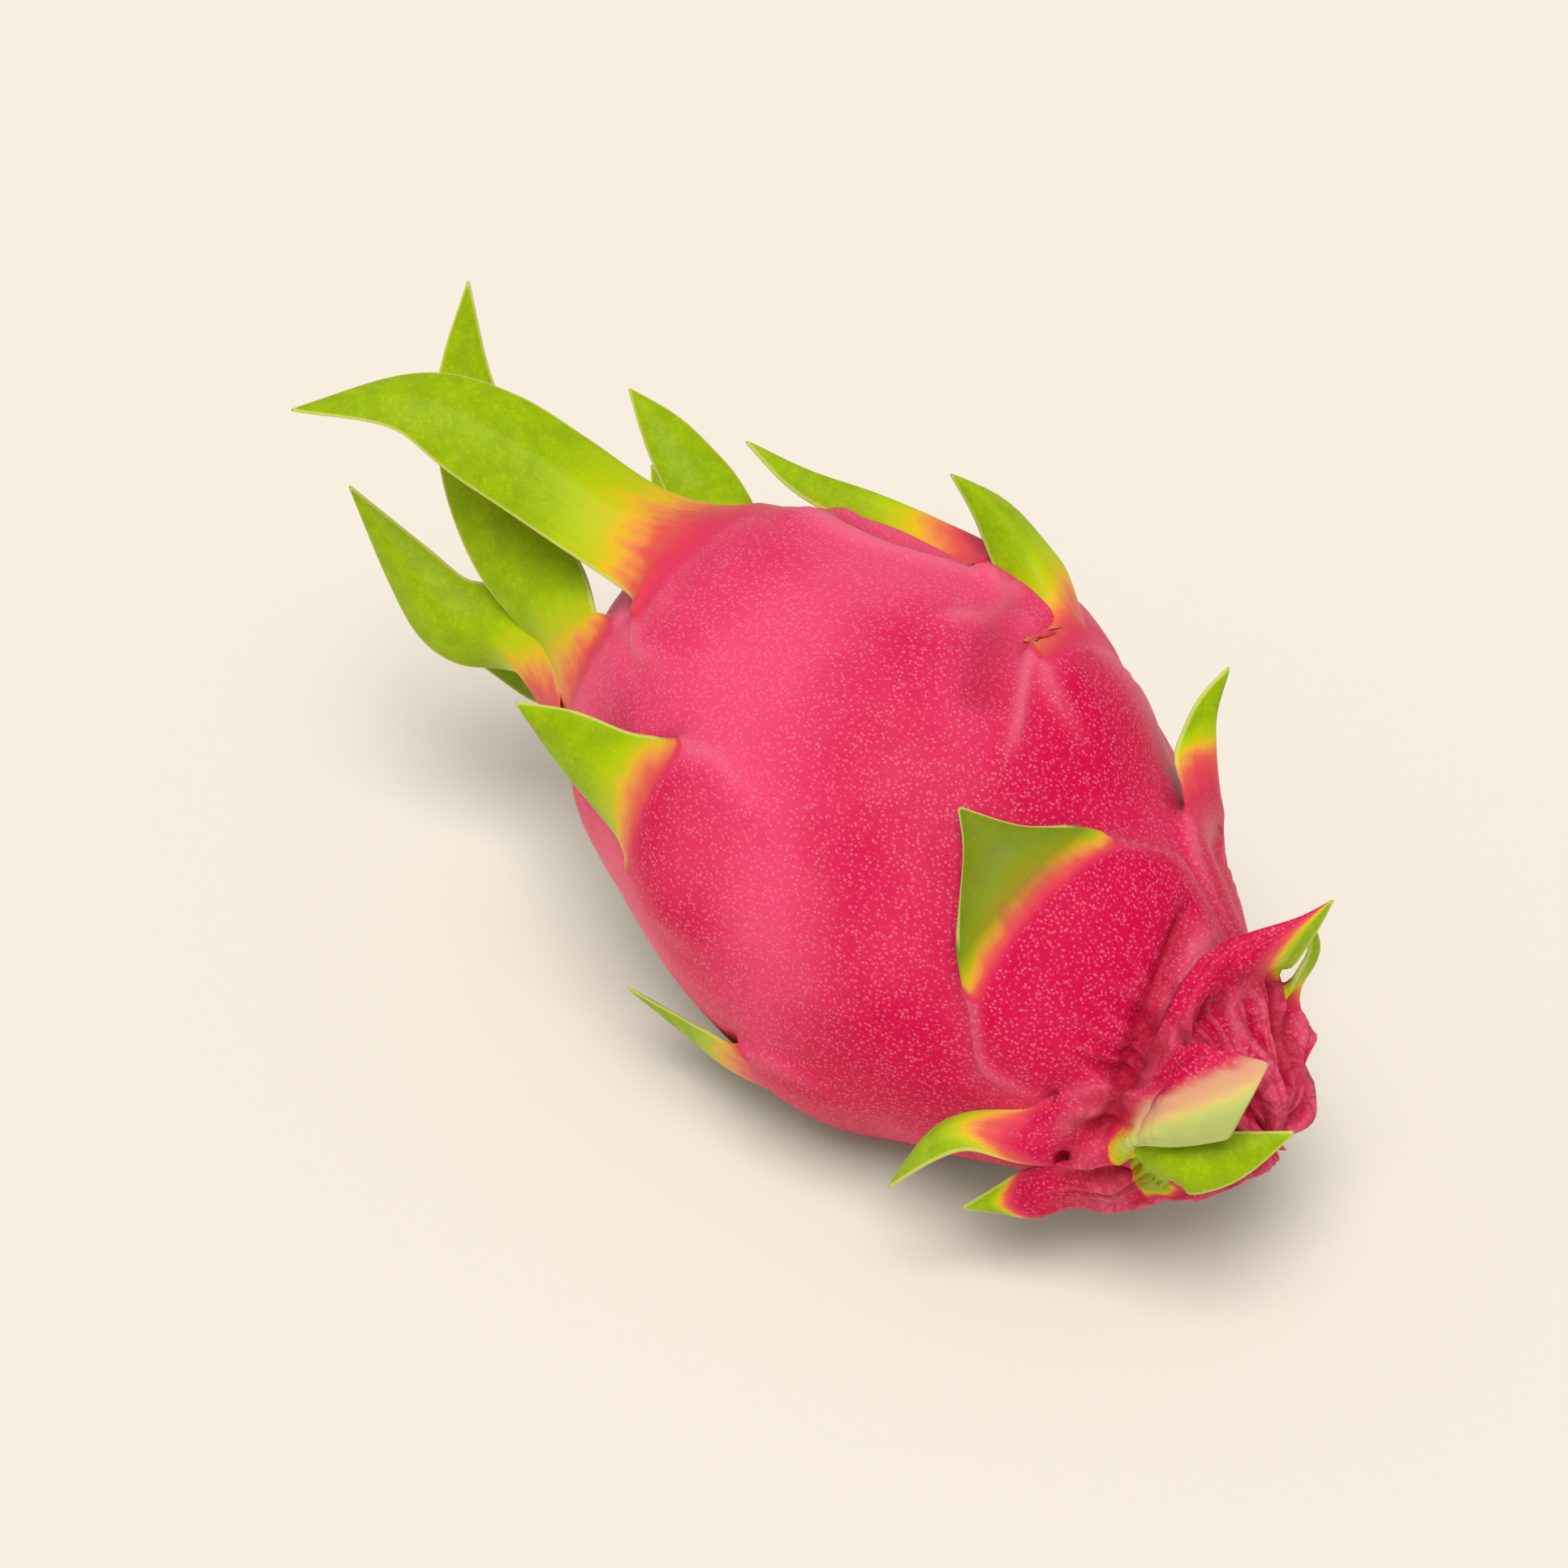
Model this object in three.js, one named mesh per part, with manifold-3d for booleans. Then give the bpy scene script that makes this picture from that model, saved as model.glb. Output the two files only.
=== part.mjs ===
// Dragon fruit: a plump oval body lying on its side, with leaf-like scales grown out of its peel.
// Millimetres, +Z up. The long axis runs along X, with the stem end at +X and a little lower than the
// blossom end at -X, where the longest scales stand in a crown round the navel.
// The whole fruit is one solid: every scale is an outgrowth of the peel.

import * as THREE from 'three';
import { mergeVertices } from 'three/addons/utils/BufferGeometryUtils.js';
import Module from 'manifold-3d';

// ---- driving dimensions ----
const BODY_LENGTH = 135.5;    // from the rim of the navel to the stem end, scales left out
const BODY_RADIUS = 41.2;     // at the widest girth
const TILT_DEGREES = 9;       // how far the stem end dips below the blossom end
const BELLY_PRESS = 1.5;      // how deep the belly is pressed flat where the fruit rests
const SCALE_THICKNESS = 3.0;  // of a scale's blade where it leaves the peel
const TIP_THICKNESS = 0.9;    // of a blade at its point
const ROOT_DEPTH = 5;         // how deep a blade's root is set in the flesh
const BEND = 4.5;             // how far the body's middle swings to the front before the stem end
const HOOK = 0.5;             // how far the stem end then swings back
const STEM_LIFT = 1.5;        // and rises
const PEEL_COLOUR = '#de2b5c';

// ---- mesh fineness ----
const GIRTH_SEGMENTS = 48;
const LENGTH_SEGMENTS = 32;
const BLADE_SEGMENTS = 8;
const BLADE_ROWS = 8;
const WELD_DISTANCE = 1e-4;

// The outline and the scales are drawn for a fruit of this size and stretched with the body.
const DRAWN_LENGTH = 135.5;
const DRAWN_RADIUS = 41.2;

// The body's outline, as [along, radius]: from the navel's floor over its rim, along the flank to the
// narrower stem end and into the shallow scar left by the stalk.
const OUTLINE = [
  [-58, 0], [-58.5, 5], [-62.5, 8.5], [-63.5, 13], [-60, 18.5], [-54, 24], [-45, 30.5], [-31, 37.2],
  [-15, 41], [0, 41.2], [15, 38.5], [30, 33], [43, 26.3], [54, 20.5], [63, 15], [69, 11], [72, 7.5],
  [72, 4.5], [70.5, 0],
];

// Every scale: where its root sits (along the body, degrees round it from the top towards the front),
// the points its blade passes through as [along, front, up] from the body's centre, its half-widths from
// root to tip, the way the outer face of the blade looks, and how far the peel swells below its root.
const SCALES = [
  // crown of long straps round the blossom end
  { name: 'front strap', root: [-48, 6],
    path: [[-62, 6.5, 25.5], [-76, 12, 28.5], [-88, 17, 32], [-100, 22.5, 33], [-113, 34, 27]],
    halfWidths: [17, 10.5, 8.8, 8.3, 5.5, 0.8], faces: [-0.2, 0.5, 0.85], swell: 2.5 },
  { name: 'upright strap', root: [-57, 82],
    path: [[-70, 16, 6], [-83, 13, 9.5], [-95, 9.5, 16], [-104, 6, 25], [-111, 0, 38]],
    halfWidths: [13, 8.5, 7.6, 7, 4.5, 0.8], faces: [0.4, 0.6, 0.7], swell: 1.5 },
  { name: 'low strap', root: [-53, 125], path: [[-76, 18, -6.5], [-88, 22, -5], [-97, 22, -2], [-112, 22, 6]],
    halfWidths: [11, 8, 6.8, 5, 0.8], faces: [0.2, 0.8, 0.5], swell: 1.5 },
  { name: 'back strap', root: [-43, -50],
    path: [[-59, -12, 17], [-69, -14, 18], [-79, -14.5, 22], [-88, -15, 24]],
    halfWidths: [12, 8.5, 6, 3.8, 0.8], faces: [0.3, 0.3, 0.9], swell: 2 },
  { name: 'far strap', root: [-57, -130], path: [[-70, -21, -13], [-84, -28, -14], [-98, -33, -8]],
    halfWidths: [11, 8, 5.5, 0.8], faces: [0, -0.9, -0.3], swell: 1.5 },
  { name: 'under strap', root: [-53, -175], path: [[-70, -1, -22], [-82, 1, -29], [-96, 5, -31]],
    halfWidths: [11, 8, 5.5, 0.8], faces: [0, 0, -1], swell: 1.5 },

  // scales along the flanks
  { name: 'ridge scale', root: [-14, -42],
    path: [[-28, -23.5, 33.2], [-39, -20, 33], [-50, -16.5, 32], [-61, -14, 32]],
    halfWidths: [12, 7, 4.8, 3.2, 0.8], faces: [0, -0.1, 1], swell: 2.5 },
  { name: 'shoulder scale', root: [5, -28],
    path: [[0, -21, 37], [-8, -22, 41], [-18, -24, 43], [-28, -24, 43]],
    halfWidths: [11, 7.5, 5.3, 3.6, 0.8], faces: [0.6, 0.3, 0.8], swell: 3 },
  { name: 'side scale', root: [35, -50], path: [[28, -26, 26], [25, -28.5, 31], [23, -33, 36]],
    halfWidths: [9, 6, 3.4, 0.8], faces: [0.8, -0.3, 0.5], swell: 1.5 },
  { name: 'shield scale', root: [34, 30], path: [[29.5, 22.5, 34], [24, 21.5, 35.5], [19, 21, 36.5]],
    halfWidths: [14.5, 8, 3.2, 0.8], faces: [0, 0.5, 0.85], swell: 4.5 },
  { name: 'hidden front scale', root: [-24, 72], path: [[-33, 37.5, 11], [-43, 38.5, 12.5], [-52, 40, 14]],
    halfWidths: [11, 8, 5, 0.8], faces: [0, 0.95, 0.3], swell: 2.5 },
  { name: 'upper back scale', root: [-20, -108], path: [[-30, -38.5, -11.5], [-41, -40, -11], [-53, -42, -8]],
    halfWidths: [11, 8, 5, 0.8], faces: [0, -0.95, -0.3], swell: 2.5 },
  { name: 'lower front scale', root: [4, 128], path: [[-6, 35.5, -28.5], [-15, 36, -28.5], [-24, 38.5, -26]],
    halfWidths: [11, 8, 5, 0.8], faces: [0, 0.8, -0.6], swell: 2 },
  { name: 'lower back scale', root: [-34, -150], path: [[-44, -18, -29.5], [-54, -19, -31], [-64, -21, -31]],
    halfWidths: [10, 7, 5, 0.8], faces: [0, -0.5, -0.85], swell: 2 },
  { name: 'middle back scale', root: [18, -98], path: [[8, -40, -6], [-2, -42, -6], [-12, -46, -3]],
    halfWidths: [11, 8, 5, 0.8], faces: [0, -1, -0.1], swell: 2.5 },

  // short, crowded scales towards the stem end
  { name: 'curled scale', root: [52, 86], path: [[50, 31, 0], [43, 35, -1], [39, 39, -5], [36, 43, -15]],
    halfWidths: [7, 4.3, 3.2, 2.8, 0.8], faces: [-0.4, 0.6, 0.6], swell: 3 },
  { name: 'ground scale', root: [55, 117], path: [[52, 30, -12], [48, 32, -15], [44, 35, -18]],
    halfWidths: [7.5, 4.5, 2.2, 0.8], faces: [0.2, 0.9, 0.2], swell: 2.5 },
  { name: 'horn scale', root: [57, 6],
    path: [[60, 3.5, 26.5], [62, -2.5, 30], [63.2, -6.5, 32], [63.5, -10.5, 34]],
    halfWidths: [12, 8, 4.4, 2, 0.8], faces: [0.45, 0.6, 0.65], swell: 3 },
  { name: 'small horn scale', root: [60.5, -46], path: [[63, -9, 20], [63.5, -10, 24], [61.5, -9.5, 28.5]],
    halfWidths: [4.5, 3.4, 2.2, 0.8], faces: [0.8, -0.3, 0.4], swell: 1 },
  { name: 'flap scale', root: [60, 60], path: [[65, 22.5, 16], [70, 20, 17.5], [75, 16.5, 19.5]],
    halfWidths: [8.5, 8.5, 8, 6.5], faces: [0.6, 0.7, 0.5], swell: 2 },
  { name: 'foot scale', root: [62, 108], path: [[68, 22.5, 4.5], [74, 17, 7.5], [79, 9, 12]],
    halfWidths: [5, 5, 4, 0.8], faces: [0.5, 0.5, 0.7], swell: 1 },
  { name: 'far back scale', root: [44, -112], path: [[36, -28, -13], [28, -32, -13], [21, -37, -9]],
    halfWidths: [10, 7, 5, 0.8], faces: [0, -0.9, -0.4], swell: 1.5 },
  { name: 'far foot scale', root: [48, -158], path: [[42, -12, -26], [34, -14, -29], [27, -17, -32]],
    halfWidths: [9, 7, 5, 0.8], faces: [0, -0.4, -0.9], swell: 2 },
  { name: 'far stem scale', root: [60, -112], path: [[55, -17, -12], [49, -20, -15], [43, -23, -17]],
    halfWidths: [7, 5, 3.5, 0.8], faces: [0.2, -0.9, -0.3], swell: 1 },
];

const SWELL_LENGTH = 11;   // how far a swelling reaches along the body
const SWELL_SETBACK = 7;   // from a scale's root towards the stem end to the top of its swelling

const wasm = await Module();
wasm.setup();

const lengthStretch = BODY_LENGTH / DRAWN_LENGTH;
const girthStretch = BODY_RADIUS / DRAWN_RADIUS;

/** A point given as [along, front, up] in the body's own frame, before the body is tilted. */
function bodyPoint([along, front, up]) {
  return new THREE.Vector3(along * lengthStretch, -front * girthStretch, up * girthStretch);
}

/** How far the body's middle lies to the front and up at a place along it. */
function middleOf(along) {
  const end = THREE.MathUtils.smoothstep(along, 48, 72);
  return [BEND * THREE.MathUtils.smoothstep(along, -35, 50) - HOOK * end, STEM_LIFT * end];
}

/** The outline's radius at a place along the body. */
function outlineRadius(along) {
  const flank = OUTLINE.slice(3, -3);
  const place = THREE.MathUtils.clamp(along, flank[0][0], flank.at(-1)[0]);
  const next = Math.max(1, flank.findIndex(([end]) => end >= place));
  const [[startAlong, startRadius], [endAlong, endRadius]] = [flank[next - 1], flank[next]];
  return THREE.MathUtils.mapLinear(place, startAlong, endAlong, startRadius, endRadius);
}

/** How far the peel stands out, at a place on the body, because of the swellings below the scales. */
function swelling(along, around) {
  let height = 0;
  for (const { root, halfWidths, swell } of SCALES) {
    const [rootAlong, rootDegrees] = root;
    const lengthwise = (along - rootAlong - SWELL_SETBACK) / SWELL_LENGTH;
    const turn = around - THREE.MathUtils.degToRad(rootDegrees);
    const sideways = Math.atan2(Math.sin(turn), Math.cos(turn)) * outlineRadius(rootAlong) / halfWidths[0];
    height += swell * Math.exp(-(lengthwise ** 2) - sideways ** 2);
  }
  return height;
}

/** A manifold solid from a closed three.js geometry. */
function solidFrom(geometry) {
  const bare = geometry.clone();
  bare.deleteAttribute('normal');
  bare.deleteAttribute('uv');
  const merged = mergeVertices(bare, WELD_DISTANCE);
  const index = merged.index.array;
  const triangles = [];
  for (let corner = 0; corner < index.length; corner += 3) {
    const [a, b, c] = index.slice(corner, corner + 3);
    if (a !== b && b !== c && c !== a) triangles.push(a, b, c);
  }
  return new wasm.Manifold(new wasm.Mesh({
    numProp: 3,
    vertProperties: new Float32Array(merged.attributes.position.array),
    triVerts: new Uint32Array(triangles),
  }));
}

/** A three.js geometry from a manifold solid. */
function geometryFrom(solid) {
  const mesh = solid.getMesh();
  const geometry = new THREE.BufferGeometry();
  geometry.setAttribute('position', new THREE.BufferAttribute(new Float32Array(mesh.vertProperties), 3));
  geometry.setIndex(new THREE.BufferAttribute(new Uint32Array(mesh.triVerts), 1));
  geometry.computeVertexNormals();
  return geometry;
}

/** The plump body: the outline turned round the long axis and swollen below every scale. */
function makeBody() {
  const outline = new THREE.SplineCurve(OUTLINE.map(([along, radius]) => new THREE.Vector2(radius, along)));
  const points = outline.getSpacedPoints(LENGTH_SEGMENTS);
  points[0].x = 0;
  points.at(-1).x = 0;
  const geometry = new THREE.LatheGeometry(points, GIRTH_SEGMENTS);
  const position = geometry.attributes.position;
  for (let i = 0; i < position.count; i += 1) {
    const along = position.getY(i);
    const radius = Math.hypot(position.getX(i), position.getZ(i));
    // the lathe's own turn, with 0 at the top and a quarter turn at the front
    const around = Math.atan2(position.getX(i), position.getZ(i));
    const onAxis = radius < WELD_DISTANCE;
    const fullness = THREE.MathUtils.smoothstep(radius, 0, DRAWN_RADIUS / 3);
    const reach = onAxis ? 0 : radius + swelling(along, around) * fullness;
    const [front, up] = middleOf(along);
    const point = bodyPoint([along, front + reach * Math.sin(around), up + reach * Math.cos(around)]);
    position.setXYZ(i, point.x, point.y, point.z);
  }
  return solidFrom(geometry);
}

/** One scale: a flat tapering blade bent along its path, with its root set in the flesh. */
function makeScale({ root, path, halfWidths, faces }) {
  const [rootAlong, rootDegrees] = root;
  const around = THREE.MathUtils.degToRad(rootDegrees);
  const depth = outlineRadius(rootAlong) - ROOT_DEPTH;
  const [front, up] = middleOf(rootAlong);
  const rootPoint = [rootAlong, front + depth * Math.sin(around), up + depth * Math.cos(around)];
  const spine = new THREE.CatmullRomCurve3([rootPoint, ...path].map(bodyPoint));
  const widths = new THREE.SplineCurve(halfWidths.map((half, i) => new THREE.Vector2(i, half)));
  const skinward = bodyPoint([0, Math.sin(around), Math.cos(around)]).normalize();
  const bladeward = bodyPoint(faces).normalize();

  const geometry = new THREE.CylinderGeometry(1, 1, 1, BLADE_SEGMENTS, BLADE_ROWS);
  const position = geometry.attributes.position;
  for (let i = 0; i < position.count; i += 1) {
    const reach = THREE.MathUtils.clamp(position.getY(i) + 0.5, 0, 1);
    const tangent = spine.getTangent(reach);
    const facing = skinward.clone().lerp(bladeward, THREE.MathUtils.smoothstep(reach, 0, 0.6));
    const normal = facing.addScaledVector(tangent, -facing.dot(tangent)).normalize();
    const side = tangent.clone().cross(normal);
    const half = widths.getPoint(reach).y * girthStretch;
    const thick = THREE.MathUtils.lerp(SCALE_THICKNESS, TIP_THICKNESS, reach) / 2;
    const point = spine.getPoint(reach)
      .addScaledVector(side, position.getX(i) * half)
      .addScaledVector(normal, position.getZ(i) * thick);
    position.setXYZ(i, point.x, point.y, point.z);
  }
  return solidFrom(geometry);
}

/** The space under the ground, which presses the fruit's flat resting spot. */
function makeGround() {
  const side = BODY_LENGTH * 3;
  return solidFrom(new THREE.BoxGeometry(side, side, side).translate(0, 0, -side / 2));
}

/** A solid tilted as the fruit lies, still round its own centre. */
function tilted(solid) {
  const tilt = new THREE.Matrix4().makeRotationY(THREE.MathUtils.degToRad(TILT_DEGREES));
  return geometryFrom(solid).applyMatrix4(tilt);
}

const body = makeBody();
let fruit = body;
for (const scale of SCALES) fruit = fruit.add(makeScale(scale));

// the bare body sinks by BELLY_PRESS into the ground, which cuts it, and any scale that dips lower, flat
const bareBody = tilted(body);
bareBody.computeBoundingBox();
const centreHeight = -bareBody.boundingBox.min.z - BELLY_PRESS;
const lying = solidFrom(tilted(fruit).translate(0, 0, centreHeight)).subtract(makeGround());

// the origin is in the middle of the fruit's footprint, on the ground
const geometry = geometryFrom(lying);
geometry.computeBoundingBox();
const middle = geometry.boundingBox.getCenter(new THREE.Vector3());
geometry.translate(-middle.x, -middle.y, 0);

const peel = new THREE.MeshStandardMaterial({ color: PEEL_COLOUR, roughness: 0.45, metalness: 0 });
const mesh = new THREE.Mesh(geometry, peel);
mesh.name = 'dragon_fruit';

const group = new THREE.Group();
group.add(mesh);

export default group;
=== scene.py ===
"""A ripe dragon fruit lying on its side.

The peel is one closed skin. A grid is wrapped round the body's outline, raised into a shield below every
scale, and each scale's blade is extruded out of a strip of that grid, so body and scales stay one surface,
as they grew. The fruit's own frame has X along the body towards the stem end, Y towards the back and Z up,
in millimetres. It is tilted and brought to metres when the peel is finished.
"""

import logging
import math
from dataclasses import dataclass, field
from enum import Enum
from typing import Any, Sequence

import bmesh
import bpy
import numpy as np
from mathutils import Matrix, Vector, noise


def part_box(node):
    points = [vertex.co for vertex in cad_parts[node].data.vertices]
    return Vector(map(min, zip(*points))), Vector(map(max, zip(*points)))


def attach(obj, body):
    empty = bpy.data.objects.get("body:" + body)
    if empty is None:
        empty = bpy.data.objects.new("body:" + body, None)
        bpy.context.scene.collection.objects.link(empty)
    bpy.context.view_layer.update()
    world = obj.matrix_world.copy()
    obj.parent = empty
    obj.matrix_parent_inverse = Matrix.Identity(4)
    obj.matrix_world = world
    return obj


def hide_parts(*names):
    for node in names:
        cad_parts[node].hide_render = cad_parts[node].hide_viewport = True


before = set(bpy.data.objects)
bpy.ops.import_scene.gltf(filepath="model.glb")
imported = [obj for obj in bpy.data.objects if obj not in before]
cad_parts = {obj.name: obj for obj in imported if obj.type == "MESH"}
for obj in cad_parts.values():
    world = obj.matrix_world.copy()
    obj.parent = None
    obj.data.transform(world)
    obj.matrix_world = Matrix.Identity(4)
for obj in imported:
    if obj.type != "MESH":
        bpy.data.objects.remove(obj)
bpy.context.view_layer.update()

MM = 0.001
NODE = "dragon_fruit"
log = logging.getLogger("dragon_fruit")

Point = tuple[float, float, float]


# ---- small helpers ----

def linear_colour(hex_code: str) -> tuple[float, float, float, float]:
    """Turn an sRGB hex colour into linear light.

    Args:
        hex_code: The colour as "#rrggbb".

    Returns:
        Red, green, blue and an alpha of 1.
    """
    channels = [int(hex_code[start:start + 2], 16) / 255 for start in (1, 3, 5)]
    red, green, blue = (c / 12.92 if c <= 0.04045 else ((c + 0.055) / 1.055) ** 2.4 for c in channels)
    return red, green, blue, 1.0


def smooth(value: Any, low: float, high: float) -> Any:
    """Ease from 0 at low to 1 at high, for a number or an array.

    Args:
        value: The number or array to ease.
        low: Where the result leaves 0.
        high: Where the result reaches 1.

    Returns:
        The eased value, of the same kind.
    """
    t = np.clip((value - low) / (high - low), 0.0, 1.0)
    return t * t * (3 - 2 * t)


def through(points: Sequence[Sequence[float]], reach: float) -> np.ndarray:
    """Read a smooth curve through evenly numbered points.

    Args:
        points: The points or numbers that the curve passes through.
        reach: How far along the curve, from 0 to 1.

    Returns:
        The curve's point there.
    """
    knots = np.asarray(points, dtype=float)
    last = len(knots) - 1
    place = min(max(reach, 0.0), 1.0) * last
    start = min(int(place), last - 1)
    t = place - start
    p1, p2 = knots[start], knots[start + 1]
    p0 = knots[start - 1] if start else 2 * p1 - p2
    p3 = knots[start + 2] if start + 2 <= last else 2 * p2 - p1
    return 0.5 * (2 * p1 + (p2 - p0) * t + (2 * p0 - 5 * p1 + 4 * p2 - p3) * t ** 2
                  + (3 * p1 - p0 - 3 * p2 + p3) * t ** 3)


def from_front(point: Sequence[float]) -> Point:
    """Turn [along, front, up] into the fruit's own X, Y and Z."""
    along, front, up = point
    return along, -front, up


# ---- the body's form ----

@dataclass(frozen=True)
class Outline:
    """The body's outline as [along, radius], from the navel's floor to the scar of the stalk."""

    points: tuple[tuple[float, float], ...] = (
        (-58, 0), (-58.5, 5), (-62.5, 8.5), (-63.5, 13), (-60, 18.5), (-54, 24), (-45, 30.5), (-31, 37.2),
        (-15, 41), (0, 41.2), (15, 38.5), (30, 33), (43, 26.3), (54, 20.5), (63, 15), (69, 11), (72, 7.5),
        (72, 4.5), (70.5, 0),
    )
    bend: float = 4.5      # how far the body's middle swings to the front before the stem end
    hook: float = 0.5      # how far the stem end then swings back
    lift: float = 1.5      # and rises
    samples: int = 600

    def __post_init__(self) -> None:
        """Measure the outline once, so that it can be read by its length."""
        curve = np.array([through(self.points, i / self.samples) for i in range(self.samples + 1)])
        curve[:, 1] = np.maximum(curve[:, 1], 0.0)
        steps = np.hypot(*np.diff(curve, axis=0).T)
        arc = np.concatenate([[0.0], np.cumsum(steps)])
        object.__setattr__(self, "curve", curve)
        object.__setattr__(self, "arc", arc)

    @property
    def length(self) -> float:
        """The outline's whole length."""
        return float(self.arc[-1])

    def at(self, arc: Any) -> tuple[Any, Any]:
        """The place along the body and the radius at a length along the outline."""
        return np.interp(arc, self.arc, self.curve[:, 0]), np.interp(arc, self.arc, self.curve[:, 1])

    def arc_of(self, along: float) -> float:
        """The length along the outline at which the flank passes a place along the body."""
        rim = int(np.argmin(self.curve[:, 0]))
        end = int(np.argmax(self.curve[:, 0]))
        return float(np.interp(along, self.curve[rim:end, 0], self.arc[rim:end]))

    def middle(self, along: Any) -> tuple[Any, Any]:
        """How far the body's middle lies to the front and up at a place along it."""
        end = smooth(along, 48.0, 72.0)
        return self.bend * smooth(along, -35.0, 50.0) - self.hook * end, self.lift * end

    def skin(self, arc: Any, around: Any) -> np.ndarray:
        """Find the smooth body's surface.

        Args:
            arc: Length along the outline.
            around: Angle round the body from the top towards the front, in radians.

        Returns:
            The point on the surface, or one row for each place asked for.
        """
        along, radius = self.at(arc)
        front, up = self.middle(along)
        return np.stack([along, -front - radius * np.sin(around), up + radius * np.cos(around)], axis=-1)

    def outward(self, arc: Any, around: Any) -> np.ndarray:
        """Find which way the smooth body's surface faces, for the same arguments as skin."""
        (x0, r0), (x1, r1) = self.at(np.asarray(arc) - 0.6), self.at(np.asarray(arc) + 0.6)
        run, rise = x1 - x0, r1 - r0
        size = np.hypot(run, rise) + 1e-9
        out = run / size
        return np.stack([-rise / size, -out * np.sin(around), out * np.cos(around)], axis=-1)


@dataclass(frozen=True)
class Lie:
    """How the fruit lies in the frame: tilted, with its belly on the ground."""

    tilt_degrees: float = 9.0
    crown_reach: float = 110.08   # from the crown's furthest tip to the body's centre, along X
    front_reach: float = 43.56    # from the frontmost scale to the body's centre, along Y
    centre_height: float = 39.4   # of the body's centre above the ground

    def centre(self) -> Vector:
        """The body's centre in the frame, in metres."""
        low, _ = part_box(NODE)
        reach = Vector((self.crown_reach, self.front_reach, self.centre_height))
        return Vector(low) + reach * MM

    def matrix(self) -> Matrix:
        """The move from the fruit's own millimetres to the frame's metres."""
        turn = Matrix.Rotation(math.radians(self.tilt_degrees), 4, "Y")
        return Matrix.Translation(self.centre()) @ turn @ Matrix.Scale(MM, 4)


@dataclass(frozen=True)
class Scale:
    """One leaf-like scale: a shield swollen out of the peel, with a free blade above it.

    Paths and faces are [along, front, up] from the body's centre.
    """

    name: str
    root: tuple[float, float]              # along the body, and degrees round it from the top to the front
    path: tuple[Point, ...]                # what the blade passes through after its root
    half_widths: tuple[float, ...]         # of the blade, from root to tip
    face: Point                            # which way the middle of the blade's outer side looks
    swell: float = 2.5                     # how far the shield stands out of the body
    shield: float = 26.0                   # how far the shield reaches towards the stem end
    cup: float = 0.25                      # how far the margins curl in, as a share of the half-width
    keel: float = 0.0                      # how far the blade is folded along its middle, as the same share
    flare: float = 0.25                    # how much wider the shield is than the blade's root
    blush: float = 2.0                     # how far the blade stays pink
    margin_lead: float = 3.0               # how much sooner its margins turn green than its middle
    side_lead: float = 0.0                 # how much sooner the margin further round the body does
    pallor: float = 0.0                    # -1 dull olive, 0 fresh green, 1 pale cream
    greening: float = 13.0                 # how far it then takes to turn fully green
    spread: float = 2.2                    # how far the blade's colours run down over the shield
    thickness: float = 2.2                 # of the blade where it leaves the peel
    shear: float = 0.0                     # how far the blade's rows stay in line with its root, 0 to 1

    def greenness(self, reach: Any, across: Any) -> Any:
        """How green the scale is at a distance along its blade and at -1 to 1 across, 0 where it turns."""
        lead = self.margin_lead * across ** 2 + self.side_lead * across
        return (reach + lead - self.blush) / self.greening


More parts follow.
